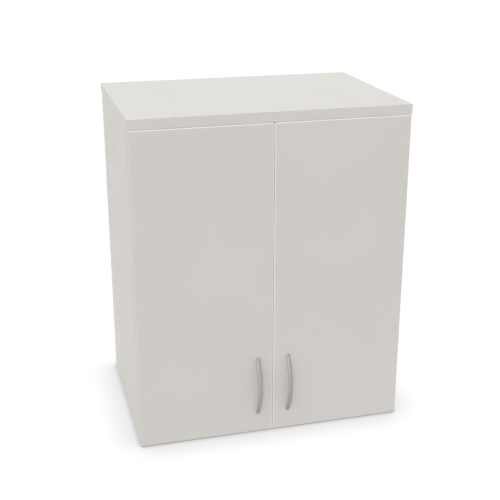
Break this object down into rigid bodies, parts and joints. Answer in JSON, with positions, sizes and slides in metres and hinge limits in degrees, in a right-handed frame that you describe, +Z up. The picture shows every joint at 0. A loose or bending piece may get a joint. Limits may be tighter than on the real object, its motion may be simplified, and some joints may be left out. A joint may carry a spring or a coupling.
{
  "type": "wall cabinet",
  "caption": "Wall cabinet with full overlay doors on concealed cup hinges, bow handles, an adjustable shelf and cabinet hangers.",
  "frame": {"origin": "on the underside of the bottom panel, in the cabinet's middle plane and halfway along the carcass's depth", "axes": "+Z up, -Y out of the front through the doors, +X towards the right as seen from the front"},
  "size_m": [0.6, 0.446, 0.728],
  "materials": {
    "carcass_board": "pale warm-grey melamine on chipboard, satin matt",
    "top_board": "pale warm-grey melamine on thicker chipboard, satin matt",
    "door_board": "pale warm-grey melamine on chipboard, satin matt",
    "back_board": "pale faced fibreboard, matt",
    "handle_metal": "satin nickel",
    "plated_steel": "nickel-plated pressed steel",
    "zinc_casting": "die-cast zinc, dull",
    "white_plastic": "moulded, fine matt",
    "clear_silicone": "translucent, soft"
  },
  "bodies": {
    "carcass": {"left_side_panel": "carcass_board", "right_side_panel": "carcass_board", "top_panel": "top_board", "bottom_panel": "carcass_board", "back_panel": "back_board", "shelf": "carcass_board", "left_front_shelf_support": "plated_steel", "left_rear_shelf_support": "plated_steel", "right_front_shelf_support": "plated_steel", "right_rear_shelf_support": "plated_steel", "left_upper_hinge_arm": "plated_steel", "left_upper_mounting_plate": "plated_steel", "left_lower_hinge_arm": "plated_steel", "left_lower_mounting_plate": "plated_steel", "right_upper_hinge_arm": "plated_steel", "right_upper_mounting_plate": "plated_steel", "right_lower_hinge_arm": "plated_steel", "right_lower_mounting_plate": "plated_steel", "left_hanger_housing": "plated_steel", "left_hanger_cover": "white_plastic", "right_hanger_housing": "plated_steel", "right_hanger_cover": "white_plastic", "left_upper_front_cam": "zinc_casting", "left_upper_rear_cam": "zinc_casting", "left_lower_front_cam": "zinc_casting", "left_lower_rear_cam": "zinc_casting", "right_upper_front_cam": "zinc_casting", "right_upper_rear_cam": "zinc_casting", "right_lower_front_cam": "zinc_casting", "right_lower_rear_cam": "zinc_casting", "left_upper_front_bolt": "plated_steel", "left_upper_rear_bolt": "plated_steel", "left_lower_front_bolt": "plated_steel", "left_lower_rear_bolt": "plated_steel", "right_upper_front_bolt": "plated_steel", "right_upper_rear_bolt": "plated_steel", "right_lower_front_bolt": "plated_steel", "right_lower_rear_bolt": "plated_steel"},
    "left_outer_links": {"left_upper_outer_link": "plated_steel", "left_lower_outer_link": "plated_steel"},
    "left_inner_links": {"left_upper_inner_link": "zinc_casting", "left_lower_inner_link": "zinc_casting"},
    "left_door_leaf": {"left_door": "door_board", "left_bow_handle": "handle_metal", "left_door_bumper": "clear_silicone", "left_upper_hinge_cup": "plated_steel", "left_lower_hinge_cup": "plated_steel"},
    "right_outer_links": {"right_upper_outer_link": "plated_steel", "right_lower_outer_link": "plated_steel"},
    "right_inner_links": {"right_upper_inner_link": "zinc_casting", "right_lower_inner_link": "zinc_casting"},
    "right_door_leaf": {"right_door": "door_board", "right_bow_handle": "handle_metal", "right_door_bumper": "clear_silicone", "right_upper_hinge_cup": "plated_steel", "right_lower_hinge_cup": "plated_steel"},
    "left_hook": {"left_hanger_hook": "plated_steel"},
    "right_hook": {"right_hanger_hook": "plated_steel"}
  },
  "joints": [
    {"name": "left_outer_link_pivot", "type": "hinge", "parent": "carcass", "child": "left_outer_links", "pos_m": [-0.26388, -0.17505, 0.35325], "axis": [0, 0, -1], "range_deg": [-27, 0]},
    {"name": "left_door_hinge", "type": "hinge", "parent": "left_outer_links", "child": "left_door_leaf", "pos_m": [-0.28851, -0.19706, 0.35325], "axis": [0, 0, -1], "range_deg": [0, 121.4]},
    {"name": "left_inner_link_pivot", "type": "hinge", "parent": "carcass", "child": "left_inner_links", "pos_m": [-0.26403, -0.1998, 0.35325], "axis": [0, 0, -1], "range_deg": [-40, 0]},
    {"name": "right_outer_link_pivot", "type": "hinge", "parent": "carcass", "child": "right_outer_links", "pos_m": [0.26388, -0.17505, 0.35325], "axis": [0, 0, 1], "range_deg": [-27, 0]},
    {"name": "right_door_hinge", "type": "hinge", "parent": "right_outer_links", "child": "right_door_leaf", "pos_m": [0.28851, -0.19706, 0.35325], "axis": [0, 0, 1], "range_deg": [0, 121.4]},
    {"name": "right_inner_link_pivot", "type": "hinge", "parent": "carcass", "child": "right_inner_links", "pos_m": [0.26403, -0.1998, 0.35325], "axis": [0, 0, 1], "range_deg": [-40, 0]},
    {"name": "left_hook_height", "type": "slide", "parent": "carcass", "child": "left_hook", "axis": [0, 0, 1], "range_m": [-0.006, 0.006]},
    {"name": "right_hook_height", "type": "slide", "parent": "carcass", "child": "right_hook", "axis": [0, 0, 1], "range_m": [-0.006, 0.006]}
  ],
  "couplings": [
    {"joint": "left_outer_link_pivot", "follows": "left_door_hinge", "ratio": -0.21753},
    {"joint": "left_inner_link_pivot", "follows": "left_door_hinge", "ratio": -0.32551},
    {"joint": "right_outer_link_pivot", "follows": "right_door_hinge", "ratio": -0.21753},
    {"joint": "right_inner_link_pivot", "follows": "right_door_hinge", "ratio": -0.32551}
  ]
}
